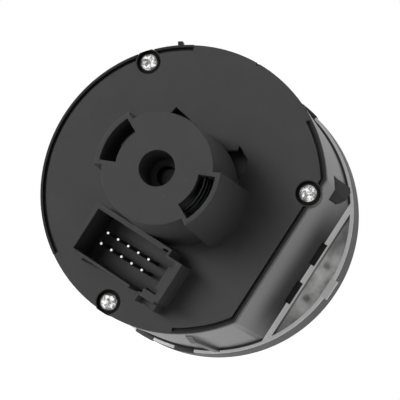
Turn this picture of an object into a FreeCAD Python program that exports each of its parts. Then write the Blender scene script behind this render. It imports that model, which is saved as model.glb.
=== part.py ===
import FreeCAD, Part
import math
import os

# Rotary headlight switch for a dashboard, all lengths in millimetres.
# The pieces are drawn on the knob's axis: z runs from the face (negative) to the connector
# (positive), z = 0 is the plane where the flange seats on the dashboard, x points to the flat side
# and y points up, all as seen from behind. save() turns each finished piece into the car's frame.

# Fits and clearances
turn_fit = 0.08
slide_fit = 0.15
loose_fit = 0.2
run_gap = 0.4
pin_fit = 0.05
seat_gap = 0.1
joint_sink = 0.1

# How far a cutting tool runs past the surface that it opens
past = 1.0

# Light grey housing: a drafted cup with one flat side
housing_rear_z = 32.0
wall_foot_r = 30.2
flat_cut = 5.3
flat_foot_x = wall_foot_r - flat_cut
wall_draft = 0.3
wall_rear_r = wall_foot_r - wall_draft
flat_rear_x = flat_foot_x - wall_draft
wall = 1.8
flange_t = 3.0
flange_w = 1.15
flange_r = wall_foot_r + flange_w
flange_lip_t = 0.6
web_z = 18.0
web_t = 1.6
bearing_wall = 1.6
bearing_len = 3.0
ledge_h = 2.4
ledge_w = 1.6

# Chord rib and the pocket between it and the rim
rib_gap = 0.1
rib_x = flat_foot_x + rib_gap
rib_t = 0.9
lug_angle = -0.75
lug_width = 4.6
lug_reach = 0.6
lug_r = flange_r + lug_reach
lug_rise = 0.15
guide_rib_angle = -55.0
guide_rib_h = 0.85
guide_rib_width = 1.2
guide_rib_rear_z = 29.5
guide_ramp_len = 5.0
window_centres = (4.7, -5.25)
window_width = 5.4
window_height = 3.0
window_cut = 0.6

# Trim ring round the face
tab_t = 0.7
tab_root_r = flange_r - tab_t
tab_rise = 0.25
tab_r = flange_r + tab_rise
tab_width = 4.4
tab_angles = (-87.0, -69.1, 79.8, 112.0, 147.0, 182.0, 217.0, 250.0)
tab_depth = 1.5
trim_step = 0.05
trim_rear_r = flange_r + trim_step
trim_draft = 0.3
trim_front_r = trim_rear_r + trim_draft
trim_front_z = -9.6
trim_round_w = 2.4
trim_round_h = 2.3
trim_round_mid_w = 0.95
trim_round_mid_h = 0.55
trim_face_w = 4.4
trim_bore_r = trim_front_r - trim_face_w
trim_inner_edge = 0.5
pocket_r = tab_root_r - seat_gap

# Face plate, its light guide and the baffle round the knob
guide_plate_t = 2.0
guide_r = tab_root_r - loose_fit
face_front_z = -8.6
face_edge_w = 1.0
face_dish = 0.4
light_rod_r = 1.5
light_rod_inset = 4.1
light_rod_at = wall_rear_r - wall - light_rod_inset
light_rod_angles = (100.0, 280.0)
light_rod_gap = 0.3
baffle_step = 2.1
baffle_t = 1.2
baffle_len = 7.0
mark_r = 0.65
mark_bore_r = 0.36
mark_rise = 0.25
mark_in = 1.6
mark_at_y = (3.6, -4.8)

# Knob
knob_r = 16.5
knob_front_z = -17.5
knob_rear_z = -3.5
knob_wall = 1.6
knob_dish = 0.8
knob_rim_w = 1.4
knob_slope_w = 1.2
knob_edge = 0.5
knob_hub_r = 4.0
knob_ring_step = 0.5
knob_ring_r = knob_r + knob_ring_step
knob_ring_t = 3.2
knob_ring_in = 1.2
knob_ring_groove = 0.4
knob_gap = 0.3
knob_hole_r = knob_ring_r + knob_gap
grip_w = 6.4
grip_h = 5.0
grip_inset = 1.3
grip_len = 2 * (knob_r - grip_inset)
grip_round = 1.6
pointer_w = 1.2
pointer_len = 6.0
pointer_t = 0.5
shaft_r = 2.0
shaft_rear_z = 44.0
shaft_chamfer = 0.4
shaft_socket = 2.0
bush_z = 27.0
bush_len = 3.0

# Travels
push_travel = 3.0
pull_travel = 7.0
catch_travel = 1.3

# Release sleeve: a cone that draws the catches in, with legs through the rotor
cone_mid_r = 11.0
cone_wall = 1.6
hook_mid_z = 7.5
cone_front_z = 2.5
sleeve_disc_z = 5.0
sleeve_disc_t = 4.0
leg_end_z = 40.0
leg_half_angle = 18.0
leg_angles = (90.0, 210.0, 330.0)

# Retaining catches, drawn in a frame turned to their line of travel: s runs along it, t across
catch_angle = 25.0
catch_low_t = 3.05
catch_high_t = 7.75
catch_tip_t = (8.0, 9.1)
catch_cut_t = 3.5
catch_cut_z = 12.5
catch_front_z = 1.2
catch_rear_z = 21.4
catch_rise = 0.9
catch_rear_rise = 0.05
catch_inner_s = 26.9
hook_z = 6.0
hook_t = 3.0
arm_inner_t = 5.7
arm_side = 14.0
arm_side_t = 2.2
arm_cross_s = 20.0
arm_cross_t = 2.4
arm_root = 0.5
hook_depth = 2.8
hook_reach = 2.8
post_s = 14.2
post_t = 1.2
post_half_w = 1.7

# Rotor, its wiper and the detent
journal_r = 11.5
journal_wall = 1.6
journal_bore_r = journal_r - journal_wall
leg_out_r = journal_bore_r - run_gap
leg_wall = 1.5
leg_in_r = leg_out_r - leg_wall
journal_len = 4.0
journal_front_z = web_z - journal_len
disc_gap = 1.9
disc_z = web_z + web_t + disc_gap
disc_t = 2.0
hub_r = 5.0
hub_bore_r = 3.4
hub_front_z = journal_front_z
tail_r = 3.5
tail_end_z = 46.0
wiper_gap = 1.1
wiper_in_r = leg_out_r + wiper_gap
wiper_w = 4.0
wiper_out_r = wiper_in_r + wiper_w
wiper_t = 0.4
finger_w = 2.4
finger_back = 3.0
finger_reach = 4.4
finger_pad = 1.0
finger_angles = (30.0, 150.0, 270.0)
valley_depth = 0.8
switch_angles = (-45.0, 0.0, 45.0, 90.0)
plunger_angle = -45.0
plunger_r = 1.3
plunger_len = 4.4
detent_spring_len = 2.8
plunger_guide_wall = 1.0
detent_block_gap = 1.6
detent_back_t = 0.8
detent_end_r = wall_rear_r - wall - detent_back_t
disc_r = detent_end_r - detent_spring_len - plunger_len - seat_gap

# Circuit board and its lamps
board_depth = 5.6
board_z = housing_rear_z - board_depth
board_t = 1.6
board_edge_gap = 0.5
board_r = wall_rear_r - wall - board_edge_gap
board_bore_gap = 0.9
board_bore_r = leg_out_r + board_bore_gap
lamp_size = 3.0
lamp_t = 1.2

# Rear frame: the black rim round the cover
lip_t = 0.52
lip_rise = 0.15
frame_base_t = 0.5
frame_w = 3.3
frame_flat_w = 2.7
frame_bore_r = wall_rear_r - frame_w
frame_pad_r = 3.7
skirt_t = 0.9
skirt_gap = 0.12
nub_angle = 124.0
nub_h = 0.8
nub_w = 1.0

# Rear cover with its boss
cover_t = 1.1
cover_under_z = housing_rear_z + frame_base_t
cover_z = cover_under_z + cover_t
lip_in_r = wall_rear_r - lip_t
lip_top_z = cover_z + lip_rise
groove_w = 0.68
flat_groove_w = 0.58
cover_r = lip_in_r - groove_w
cover_flat_x = flat_rear_x - lip_t - flat_groove_w
lobe_inset = 0.04
lobe_r = wall_rear_r - lobe_inset
lobe_spans = ((59.5, 118.5), (239.5, 300.0))
cover_notch_angle = 91.0
cover_notch_w = 0.6
cover_notch_h = 0.5
leg_gap = 0.3
boss_bore_r = leg_out_r + leg_gap
boss_wall = 1.26
boss_top_r = boss_bore_r + boss_wall
boss_draft = 0.94
boss_foot_r = boss_top_r + boss_draft
boss_h = 21.0
boss_top_z = cover_z + boss_h
boss_edge = 0.25
boss_roof_t = 1.4
bump_rise = 0.6
bump_top_r = boss_foot_r + bump_rise
bump_draft = 1.6
bump_foot_r = bump_top_r + bump_draft
bump_angles = (-1.5, 178.5)
bump_half_angle = 29.0
slot_w = 3.3
slot_rim = 1.0
slot_out_r = bump_top_r - slot_rim
slot_in_r = slot_out_r - slot_w
slot_half_angle = 24.4
tube_r = 4.9
tube_front_z = 35.0
foot_window_right = ((2.4, 10.3), (5.8, 12.5), (5.6, 13.55), (8.7, 11.9), (9.8, 9.7), (9.1, 6.7))
foot_window_left = ((-10.45, 11.9), (-10.2, 13.4), (-6.25, 12.8), (-5.2, 10.9), (-8.6, 8.5))
foot_window_inset = 0.4

# Connector shroud on the cover: a main mouth and a narrower end mouth
shroud_h = 8.3
shroud_top_z = cover_z + shroud_h
socket_sink = 3.5
socket_floor_z = cover_z - socket_sink
mouth_x = (-9.6, 7.3)
mouth_y = (-22.0, -12.65)
end_mouth_y = (-20.9, -13.55)
end_wall_x = 9.1
end_step_x = 9.95
end_step_depth = 0.4
end_slot_h = 1.15
shroud_x = 11.3
shroud_side_t = 0.9
shroud_top_t = 1.05
shroud_lower_t = 0.6
end_top_t = 0.55
top_nick = (6.2, 7.4)
top_nick_depth = 0.5
latch_gap_x = (4.5, 6.6)
latch_out = 2.0
latch_wall_t = 0.5
latch_floor_drop = 3.0
latch_x = 10.6
foot_pad_x = -7.2
foot_pad_h = 1.2

# Contact pins
pin_w = 0.63
pin_pitch = 2.54
pin_columns = 5
pin_first_x = -6.53
pin_row_y = -15.82
pin_recess = 4.3
pin_tip_z = shroud_top_z - pin_recess
pin_tail = 1.0
pin_tail_z = board_z - pin_tail
pin_chamfer = 0.15

# Cover screws: two set in from the round edge, one from the flat
screw_angles = (138.26, -89.56)
screw_inset = 2.3
flat_screw_inset = 1.7
flat_screw_y = 12.65
screw_head_r = 2.0
screw_head_t = 1.3
screw_shank_r = 0.9
screw_len = 8.0
recess_half = 1.1
recess_w = 0.5
recess_depth = 0.7
well_r = 2.45
well_wall = 0.3
well_depth = 1.3
well_floor_t = 1.1
well_floor_z = cover_z - well_depth - well_floor_t
column_r = 2.6
column_floor = 2.8
column_front_z = cover_z - well_depth - screw_len - column_floor

# Springs
return_wire_r = 0.25
return_coil_inset = 0.55
return_coil_r = leg_out_r - return_coil_inset
return_turns = 5
small_wire_r = 0.25
small_coil_r = 1.15
small_turns = 3
coil_steps = 16
spring_gap = 0.02

X = FreeCAD.Vector(1, 0, 0)
Y = FreeCAD.Vector(0, 1, 0)
Z = FreeCAD.Vector(0, 0, 1)
far = 2 * wall_foot_r
guide_rear_z = -flange_t
guide_front_z = guide_rear_z - guide_plate_t
cone_slope = catch_travel / push_travel
tail_z = tube_front_z - run_gap
pointer_top_z = knob_front_z + knob_dish - grip_h
to_car = FreeCAD.Placement(FreeCAD.Vector(0, 0, 0), FreeCAD.Rotation(FreeCAD.Vector(0, 1, 1), 180))


def vec(x, y, z=0.0):
    return FreeCAD.Vector(x, y, z)


def cyl(r, z0, z1, x=0.0, y=0.0):
    return Part.makeCylinder(r, z1 - z0, vec(x, y, z0), Z)


def cone(r0, r1, z0, z1):
    return Part.makeCone(r0, r1, z1 - z0, vec(0, 0, z0), Z)


def ring(r_in, r_out, z0, z1):
    return cyl(r_out, z0, z1).cut(cyl(r_in, z0 - past, z1 + past))


def box(x0, x1, y0, y1, z0, z1):
    return Part.makeBox(x1 - x0, y1 - y0, z1 - z0, vec(x0, y0, z0))


def polar(r, angle, z=0.0):
    a = math.radians(angle)
    return vec(r * math.cos(a), r * math.sin(a), z)


def wedge(a0, a1, z0, z1):
    """Solid slice of a round space between two angles, less than half a turn wide."""
    middle = (a0 + a1) / 2
    corner_r = far / math.cos(math.radians((a1 - a0) / 4))
    edge = [vec(0, 0, z0), polar(far, a0, z0), polar(corner_r, middle, z0), polar(far, a1, z0)]
    return prism(edge, Z * (z1 - z0))


def prism(points, along):
    return Part.Face(Part.makePolygon(points + [points[0]])).extrude(along)


def turned(shape, angle):
    """A copy of the shape turned about the knob's axis."""
    copy = shape.copy()
    copy.rotate(vec(0, 0), Z, angle)
    return copy


def fused(shapes):
    whole = shapes[0]
    for shape in shapes[1:]:
        whole = whole.fuse(shape)
    return whole.removeSplitter()


def without(body, tools):
    for tool in tools:
        body = body.cut(tool)
    return body


def revolved(points):
    """Solid of revolution from (radius, z) points."""
    face = Part.Face(Part.makePolygon([vec(r, 0, z) for r, z in points + [points[0]]]))
    return face.revolve(vec(0, 0), Z, 360)


def flat_round(r, flat_x, z):
    """Outline of a round with one flat side."""
    half = math.degrees(math.acos(flat_x / r))
    arc = Part.Arc(polar(r, half, z), polar(r, 180, z), polar(r, -half, z)).toShape()
    chord = Part.makeLine(polar(r, -half, z), polar(r, half, z))
    return Part.Wire([arc, chord])


def flat_round_solid(r0, flat0, z0, r1, flat1, z1):
    """Solid between two such outlines, with straight drafted walls."""
    return Part.makeLoft([flat_round(r0, flat0, z0), flat_round(r1, flat1, z1)], True, True)


def housing_r(z):
    return wall_foot_r + (wall_rear_r - wall_foot_r) * z / housing_rear_z


def housing_flat(z):
    return flat_foot_x + (flat_rear_x - flat_foot_x) * z / housing_rear_z


def housing_form(z0, z1, grow=0.0, grow_end=None):
    """The housing's outer form between two heights, moved outward by grow."""
    end = grow if grow_end is None else grow_end
    return flat_round_solid(
        housing_r(z0) + grow, housing_flat(z0) + grow, z0, housing_r(z1) + end, housing_flat(z1) + end, z1
    )


def coil(r, wire_r, z0, z1, turns):
    """Helical spring with its end turns resting on z0 and z1, as hexagonal wire."""
    steps = coil_steps * turns
    lift = z1 - z0 - 2 * wire_r
    sections = []
    for step in range(steps + 1):
        angle = 360.0 * step / coil_steps
        corners = []
        for corner in range(7):
            around = math.radians(60.0 * corner)
            corners.append(polar(r + wire_r * math.cos(around), angle,
                                 z0 + wire_r + lift * step / steps + wire_r * math.sin(around)))
        sections.append(Part.makePolygon(corners))
    return Part.makeLoft(sections, True, True)


def screw_points():
    points = [polar(wall_rear_r - screw_inset, angle) for angle in screw_angles]
    points.insert(1, vec(flat_rear_x - flat_screw_inset, flat_screw_y))
    return points


def screw_places(shape):
    """A copy of the shape at each cover screw."""
    copies = []
    for point in screw_points():
        copy = shape.copy()
        copy.translate(point)
        copies.append(copy)
    return copies


def detent_z():
    return disc_z + disc_t / 2


def catch_form(grow, travel):
    """The catch's outline across its line of travel, grown by a gap and lengthened inward."""
    inner_s = catch_inner_s - travel - grow
    corners = [
        vec(inner_s, catch_low_t, catch_rear_z), vec(inner_s, catch_high_t, catch_rear_z),
        vec(inner_s, catch_tip_t[1], catch_front_z), vec(inner_s, catch_tip_t[0], catch_front_z),
        vec(inner_s, catch_cut_t, catch_cut_z),
    ]
    outline = Part.makePolygon(corners + [corners[0]])
    if grow:
        outline = outline.makeOffset2D(grow, 2)
    return Part.Face(outline).extrude(X * far)


def light_rods(grow):
    rods = []
    for angle in light_rod_angles:
        at = polar(light_rod_at, angle)
        rods.append(cyl(light_rod_r + grow, guide_rear_z, board_z - lamp_t - light_rod_gap, at.x, at.y))
    return rods


# Housing
def make_shell():
    outer = housing_form(0, housing_rear_z)
    inner = housing_form(-flange_t - past, housing_rear_z + past, -wall)
    flange = cyl(tab_root_r - seat_gap, -flange_t, 0).fuse(cyl(flange_r, -flange_lip_t, 0))
    shell = fused([outer, flange]).cut(inner)
    web = housing_form(web_z, web_z + web_t, loose_fit - wall)
    bearing = cyl(journal_r + turn_fit + bearing_wall, web_z - bearing_len, web_z + web_t)
    columns = [c.common(housing_form(column_front_z, housing_rear_z, -loose_fit))
               for c in screw_places(cyl(column_r, column_front_z, well_floor_z))]
    body = fused([shell, web, bearing] + columns)
    body = body.cut(cyl(journal_r + turn_fit, web_z - bearing_len - past, web_z + web_t + past))
    ledge_z = board_z - ledge_h
    bevel = Part.makeCone(board_r + loose_fit, board_r - ledge_w, ledge_h, vec(0, 0, ledge_z), Z)
    return body.fuse(housing_form(ledge_z, board_z, loose_fit - wall).cut(bevel))


def make_rim_details(body):
    """Chord rib with its pocket, then the lug and the guide rib."""
    rib_end_x = rib_x + rib_t
    pocket = cyl(pocket_r, -flange_t - past, past)
    pocket = pocket.common(box(rib_end_x, far, -far, far, -flange_t - past, past))
    strip = cyl(pocket_r + joint_sink, -flange_t, 0)
    strip = strip.common(box(flat_foot_x - wall, rib_end_x, -far, far, -flange_t, 0))
    body = body.fuse(strip).cut(pocket)
    lug = box(pocket_r - loose_fit, lug_r, -lug_width / 2, lug_width / 2,
              -flange_lip_t - lug_rise, lug_rise)
    guide_rib_r = wall_foot_r + guide_rib_h
    half = guide_rib_width / 2
    guide = box(wall_foot_r - wall / 2, guide_rib_r, -half, half, -flange_lip_t / 2, guide_rib_rear_z)
    ramp = prism([
        vec(guide_rib_r, -guide_rib_width, guide_rib_rear_z - guide_ramp_len),
        vec(guide_rib_r + past, -guide_rib_width, guide_rib_rear_z - guide_ramp_len),
        vec(guide_rib_r + past, -guide_rib_width, guide_rib_rear_z + past),
        vec(wall_rear_r + joint_sink, -guide_rib_width, guide_rib_rear_z + past),
    ], Y * (2 * guide_rib_width))
    return body.fuse(turned(guide.cut(ramp), guide_rib_angle)).fuse(turned(lug, lug_angle))


def make_detent_block():
    """Block on the web that holds the detent plunger and its spring."""
    reach = wall_rear_r - wall + loose_fit
    half = plunger_r + slide_fit + plunger_guide_wall
    block = box(disc_r + detent_block_gap, reach, -half, half,
                web_z + web_t - joint_sink, detent_z() + half)
    return turned(block, plunger_angle)


def make_detent_bore():
    start = disc_r + detent_block_gap - past
    bore = Part.makeCylinder(plunger_r + slide_fit, detent_end_r - start, vec(start, 0, detent_z()), X)
    return turned(bore, plunger_angle)


def make_housing():
    body = make_rim_details(make_shell())
    cuts = [box(rib_x - 2 * wall, rib_x + window_cut, y - window_width / 2, y + window_width / 2,
                -flange_lip_t, window_height) for y in window_centres]
    cuts += light_rods(loose_fit)
    cuts += screw_places(cyl(screw_shank_r + pin_fit, cover_z - well_depth - screw_len - past, cover_z))
    cuts += screw_places(cyl(well_r + well_wall + seat_gap, well_floor_z, cover_z))
    for angle in (catch_angle, catch_angle + 180):
        cuts.append(turned(catch_form(loose_fit, catch_travel), angle))
    for angle in tab_angles:
        half = tab_width / 2 + seat_gap
        room = box(tab_root_r - seat_gap, far, -half, half, -flange_lip_t - seat_gap, past)
        cuts.append(turned(room, angle))
    body = without(body, cuts)
    for angle in (catch_angle, catch_angle + 180):
        post = box(post_s, post_s + post_t, spring_t() - post_half_w, spring_t() + post_half_w,
                   hook_z - run_gap, web_z + joint_sink)
        body = body.fuse(turned(post, angle))
    return body.fuse(make_detent_block()).cut(make_detent_bore()).removeSplitter()


def spring_t():
    """Where the catch's spring lies across its line of travel."""
    return (catch_low_t + catch_high_t) / 2


# Trim ring: a turned profile with a rounded front edge, plus clip tabs over the flange
def make_trim_ring():
    profile = [
        vec(tab_root_r, 0, -flange_lip_t), vec(trim_rear_r, 0, -flange_lip_t),
        vec(trim_front_r, 0, trim_front_z + trim_round_h),
    ]
    mid = vec(trim_front_r - trim_round_mid_w, 0, trim_front_z + trim_round_mid_h)
    crest = vec(trim_front_r - trim_round_w, 0, trim_front_z)
    tail = [vec(trim_bore_r + trim_inner_edge, 0, trim_front_z + trim_inner_edge),
            vec(trim_bore_r, 0, trim_front_z + 2 * trim_inner_edge), vec(trim_bore_r, 0, guide_front_z),
            vec(tab_root_r, 0, guide_front_z), profile[0]]
    edges = [Part.makeLine(profile[0], profile[1]), Part.makeLine(profile[1], profile[2])]
    edges.append(Part.Arc(profile[2], mid, crest).toShape())
    start = crest
    for point in tail:
        edges.append(Part.makeLine(start, point))
        start = point
    body = Part.Face(Part.Wire(edges)).revolve(vec(0, 0), Z, 360)
    for angle in tab_angles:
        tab = box(tab_root_r, far, -tab_width / 2, tab_width / 2, -flange_lip_t - tab_depth, trim_step)
        body = body.fuse(turned(tab.common(cyl(tab_r, -flange_t, past)), angle))
    half = lug_width / 2 + slide_fit
    notch = box(pocket_r, far, -half, half, -flange_lip_t - lug_rise - slide_fit, past)
    body = body.cut(turned(notch, lug_angle))
    return body.removeSplitter()


# Light guide: milky plate behind the face, with rods to the lamps
def make_light_guide():
    plate = ring(knob_hole_r + baffle_step - baffle_t - loose_fit, guide_r, guide_front_z, guide_rear_z)
    body = fused([plate] + light_rods(0))
    for y in mark_at_y:
        x = rib_x + rib_t + mark_in
        mark = cyl(mark_r, guide_rear_z - joint_sink, guide_rear_z + mark_rise, x, y)
        body = body.fuse(mark.cut(cyl(mark_bore_r, guide_rear_z, guide_rear_z + past, x, y)))
    return body


# Face plate: flat disc with a low raised edge round the knob
def make_face_plate():
    body = ring(knob_hole_r, trim_bore_r - pin_fit, face_front_z, guide_front_z)
    dish = ring(knob_hole_r + face_edge_w, trim_bore_r - face_edge_w,
                face_front_z - past, face_front_z + face_dish)
    return body.cut(dish)


# Baffle that keeps lamp light away from the knob's gap
def make_light_baffle():
    baffle_r = knob_hole_r + baffle_step
    return ring(baffle_r - baffle_t, baffle_r, guide_rear_z, guide_rear_z + baffle_len)


# Knob: a cup with a grip bar across its front
def make_knob():
    front = knob_front_z + knob_dish
    slope_r = knob_r - knob_rim_w
    skirt = revolved([
        (0, front), (slope_r - knob_slope_w, front), (slope_r, knob_front_z),
        (knob_r - knob_edge, knob_front_z), (knob_r, knob_front_z + knob_edge), (knob_r, knob_rear_z),
        (knob_r - knob_wall, knob_rear_z), (knob_r - knob_wall, front + knob_wall), (0, front + knob_wall),
    ])
    grip = box(-grip_w / 2, grip_w / 2, -grip_len / 2, grip_len / 2, front - grip_h, front + knob_edge)
    long_edges = [e for e in grip.Edges if e.BoundBox.YLength > grip_w and e.BoundBox.ZMax < front]
    grip = grip.makeFillet(grip_round, long_edges)
    grip = grip.common(cyl(grip_len / 2, front - grip_h - past, front + past))
    hub = cyl(knob_hub_r, front, sleeve_disc_z)
    body = fused([skirt, grip, hub]).cut(cyl(shaft_r, front + shaft_socket, sleeve_disc_z + past))
    ring_z = knob_front_z + knob_ring_in
    groove = ring(knob_r - knob_ring_groove, knob_r + past, ring_z, ring_z + knob_ring_t)
    return without(body, [pointer_slot(), groove])


def pointer_slot():
    start = grip_len / 2 - pointer_len
    return box(-pointer_w / 2, pointer_w / 2, start, far, pointer_top_z - past, pointer_top_z + pointer_t)


def make_knob_pointer():
    return pointer_slot().common(cyl(grip_len / 2, pointer_top_z - pin_fit, pointer_top_z + past))


def make_knob_ring():
    z0 = knob_front_z + knob_ring_in
    z1 = z0 + knob_ring_t
    inner_r = knob_r - knob_ring_groove
    bevel_r = knob_ring_r - knob_ring_groove
    return revolved([
        (inner_r, z0), (bevel_r, z0), (knob_ring_r, z0 + knob_ring_groove),
        (knob_ring_r, z1 - knob_ring_groove), (bevel_r, z1), (inner_r, z1),
    ])


def make_knob_shaft():
    body = cyl(shaft_r, knob_front_z + knob_dish + shaft_socket, shaft_rear_z)
    rim = [e for e in body.Edges if e.BoundBox.ZMin > shaft_rear_z - joint_sink]
    return body.makeChamfer(shaft_chamfer, rim)


def make_contact_bush():
    return ring(shaft_r, hub_bore_r - loose_fit, bush_z, bush_z + bush_len)


# Release sleeve
def cone_r(z):
    return cone_mid_r - cone_slope * (z - hook_mid_z)


def make_release_sleeve():
    disc_end = sleeve_disc_z + sleeve_disc_t
    body = cone(cone_r(cone_front_z), cone_r(disc_end), cone_front_z, disc_end)
    body = body.cut(cyl(cone_mid_r - cone_wall, cone_front_z - past, sleeve_disc_z))
    body = body.cut(cyl(shaft_r + turn_fit, 0, disc_end + past))
    for angle in leg_angles:
        leg = ring(leg_in_r, leg_out_r, disc_end - past, leg_end_z)
        body = body.fuse(leg.common(wedge(angle - leg_half_angle, angle + leg_half_angle, 0, far)))
    return body.removeSplitter()


# Rotor with its contact tracks side towards the board
def make_rotor():
    disc = cyl(disc_r, disc_z, disc_z + disc_t)
    journal = ring(journal_bore_r, journal_r, journal_front_z, disc_z + joint_sink)
    hub = cyl(hub_r, hub_front_z, tail_z).fuse(cyl(tail_r, tail_z - joint_sink, tail_end_z))
    body = fused([disc, journal, hub])
    body = body.cut(cyl(shaft_r + turn_fit, hub_front_z - past, tail_end_z + past))
    body = body.cut(cyl(hub_bore_r, bush_z - pull_travel - run_gap,
                        bush_z + bush_len + push_travel + run_gap))
    for angle in leg_angles:
        slot = ring(leg_in_r - slide_fit, leg_out_r + slide_fit, disc_z - past, disc_z + disc_t + past)
        open_angle = leg_half_angle + math.degrees(slide_fit / leg_in_r)
        body = body.cut(slot.common(wedge(angle - open_angle, angle + open_angle, 0, far)))
    for angle in switch_angles:
        at = polar(disc_r + plunger_r + pin_fit - valley_depth, plunger_angle - angle)
        body = body.cut(cyl(plunger_r + seat_gap, disc_z - past, disc_z + disc_t + past, at.x, at.y))
    return body.removeSplitter()


def make_rotor_wiper():
    z0 = disc_z + disc_t
    body = ring(wiper_in_r, wiper_out_r, z0, z0 + wiper_t)
    x = (wiper_in_r + wiper_out_r - finger_w) / 2
    tip = board_z - seat_gap
    pad_y = finger_reach - finger_pad
    for angle in finger_angles:
        finger = prism([
            vec(x, -finger_back, z0), vec(x, pad_y, tip - wiper_t), vec(x, finger_reach, tip - wiper_t),
            vec(x, finger_reach, tip), vec(x, pad_y - wiper_t / 2, tip),
            vec(x, -finger_back - wiper_t, z0 + wiper_t),
        ], X * finger_w)
        body = body.fuse(turned(finger, angle))
    return body.removeSplitter()


# Detent plunger and its spring, along a line square to the axis
def make_detent_plunger():
    nose_at = vec(disc_r + seat_gap + plunger_r, 0, detent_z())
    body = Part.makeCylinder(plunger_r, plunger_len - plunger_r, nose_at, X)
    return turned(body.fuse(Part.makeSphere(plunger_r, nose_at)).removeSplitter(), plunger_angle)


def make_detent_spring():
    start = disc_r + seat_gap + plunger_len
    spring = coil(plunger_r - 2 * small_wire_r, small_wire_r,
                  start + spring_gap, detent_end_r - spring_gap, small_turns)
    spring.rotate(vec(0, 0), Y, 90)
    spring.translate(vec(0, 0, detent_z()))
    return turned(spring, plunger_angle)


# Retaining catches
def make_catch(angle):
    outer = turned(housing_form(catch_front_z, catch_rear_z, catch_rise, catch_rear_rise), -catch_angle)
    tongue = catch_form(0, 0).common(outer)
    z1 = hook_z + hook_t
    arm = [
        box(arm_cross_s, catch_inner_s + arm_root, arm_inner_t, catch_high_t, hook_z, z1),
        box(arm_cross_s, arm_cross_s + arm_cross_t, catch_low_t, arm_side + arm_side_t, hook_z, z1),
    ]
    face_s = cone_r(hook_mid_z) + loose_fit
    arm.append(box(-face_s - hook_depth, arm_cross_s + arm_cross_t,
                   arm_side, arm_side + arm_side_t, hook_z, z1))
    slope = cone_slope * (z1 - hook_mid_z)
    hook = prism([
        vec(-face_s - slope, -hook_reach, hook_z), vec(-face_s + slope, -hook_reach, z1),
        vec(-face_s - hook_depth, -hook_reach, z1), vec(-face_s - hook_depth, -hook_reach, hook_z),
    ], Y * (hook_reach + arm_side + arm_side_t / 2))
    return turned(fused([tongue] + arm + [hook]), angle)


def make_catch_spring(angle):
    spring = coil(small_coil_r, small_wire_r,
                  post_s + post_t + spring_gap, arm_cross_s - spring_gap, small_turns)
    spring.rotate(vec(0, 0), Y, 90)
    spring.translate(vec(0, spring_t(), hook_z + hook_t / 2))
    return turned(spring, angle)


# Circuit board and its lamps
def make_circuit_board():
    flat_x = housing_flat(board_z) - wall - loose_fit
    body = flat_round_solid(board_r, flat_x, board_z, board_r, flat_x, board_z + board_t)
    cuts = [cyl(board_bore_r, board_z - past, board_z + board_t + past)]
    cuts += screw_places(cyl(column_r + loose_fit, board_z - past, board_z + board_t + past))
    cuts += pin_holes(board_z - past, board_z + board_t + past)
    return without(body, cuts)


def make_board_lamps():
    lamps = []
    for angle in light_rod_angles:
        at = polar(light_rod_at, angle)
        half = lamp_size / 2
        lamps.append(box(at.x - half, at.x + half, at.y - half, at.y + half, board_z - lamp_t, board_z))
    return Part.makeCompound(lamps)


# Rear frame
def make_rear_frame():
    z0 = housing_rear_z
    outline = flat_round_solid(wall_rear_r, flat_rear_x, z0, wall_rear_r, flat_rear_x, z0 + frame_base_t)
    bore_flat = flat_rear_x - frame_flat_w
    bore = flat_round_solid(frame_bore_r, bore_flat, z0 - past, frame_bore_r, bore_flat, z0 + past)
    base = outline.cut(bore)
    lip = flat_round_solid(wall_rear_r, flat_rear_x, z0, wall_rear_r, flat_rear_x, lip_top_z)
    lip_flat = flat_rear_x - lip_t
    lip = lip.cut(flat_round_solid(lip_in_r, lip_flat, z0 - past, lip_in_r, lip_flat, lip_top_z + past))
    for a0, a1 in lobe_spans:
        lip = lip.cut(wedge(a0, a1, z0 + frame_base_t, far))
    nub = box(wall_rear_r - lip_t / 2, wall_rear_r + nub_h, -nub_w / 2, nub_w / 2, z0 + lip_rise, lip_top_z)
    nub = turned(nub, nub_angle)
    skirt_r = wall_rear_r - wall - skirt_gap
    skirt_flat = flat_rear_x - wall - skirt_gap
    hollow_r = skirt_r - skirt_t
    hollow_flat = skirt_flat - skirt_t
    skirt = flat_round_solid(skirt_r, skirt_flat, board_z + board_t, skirt_r, skirt_flat, z0 + joint_sink)
    skirt = skirt.cut(flat_round_solid(hollow_r, hollow_flat, board_z, hollow_r, hollow_flat, z0 + past))
    pads = [pad.common(outline) for pad in screw_places(cyl(frame_pad_r, z0, z0 + frame_base_t))]
    body = fused([base, lip, nub, skirt] + pads)
    cuts = screw_places(cyl(well_r + well_wall + seat_gap, well_floor_z, far))
    cuts += screw_places(cyl(column_r + seat_gap, board_z, well_floor_z))
    return without(body, cuts)


def pin_places():
    places = []
    for column in range(pin_columns):
        for row in range(2):
            places.append((pin_first_x + column * pin_pitch, pin_row_y - row * pin_pitch))
    return places


def pin_holes(z0, z1):
    half = pin_w / 2 + pin_fit
    return [box(x - half, x + half, y - half, y + half, z0, z1) for x, y in pin_places()]


# Rear cover
def make_boss():
    body = cone(boss_foot_r, boss_top_r, cover_z, boss_top_z).fuse(cyl(boss_foot_r, cover_under_z, cover_z))
    bumps = cone(bump_foot_r, bump_top_r, cover_z, boss_top_z)
    for angle in bump_angles:
        body = body.fuse(bumps.common(wedge(angle - bump_half_angle, angle + bump_half_angle, 0, far)))
    body = body.removeSplitter()
    rim = [e for e in body.Edges if e.BoundBox.ZMin > boss_top_z - joint_sink]
    return body.makeFillet(boss_edge, rim)


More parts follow.
